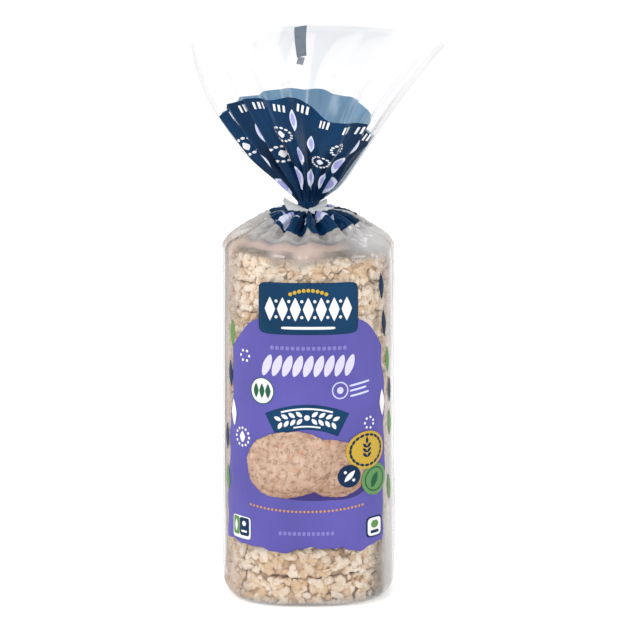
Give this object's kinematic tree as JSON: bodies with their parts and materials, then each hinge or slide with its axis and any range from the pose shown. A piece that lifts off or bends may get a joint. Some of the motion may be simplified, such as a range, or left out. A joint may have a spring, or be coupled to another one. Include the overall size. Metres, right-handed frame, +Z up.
{
  "type": "tied clear bag of puffed rice cakes",
  "caption": "Tall clear film bag wrapped round a stack of puffed rice cakes, with a printed front panel, gathered at a white tie and flared open above it.",
  "frame": {"origin": "centre of the flat base of the wrapped body, on the surface it stands on", "axes": "+Z up along the stack, +X to the right of the printed front, the front faces -Y"},
  "size_m": [0.1454, 0.0978, 0.3295],
  "materials": {
    "film": "clear film over pale toasted puffed rice, with a violet and navy printed panel",
    "tie_plastic": "milky translucent plastic"
  },
  "bodies": {
    "root": {"bag": "film", "tie": "tie_plastic"}
  },
  "joints": []
}
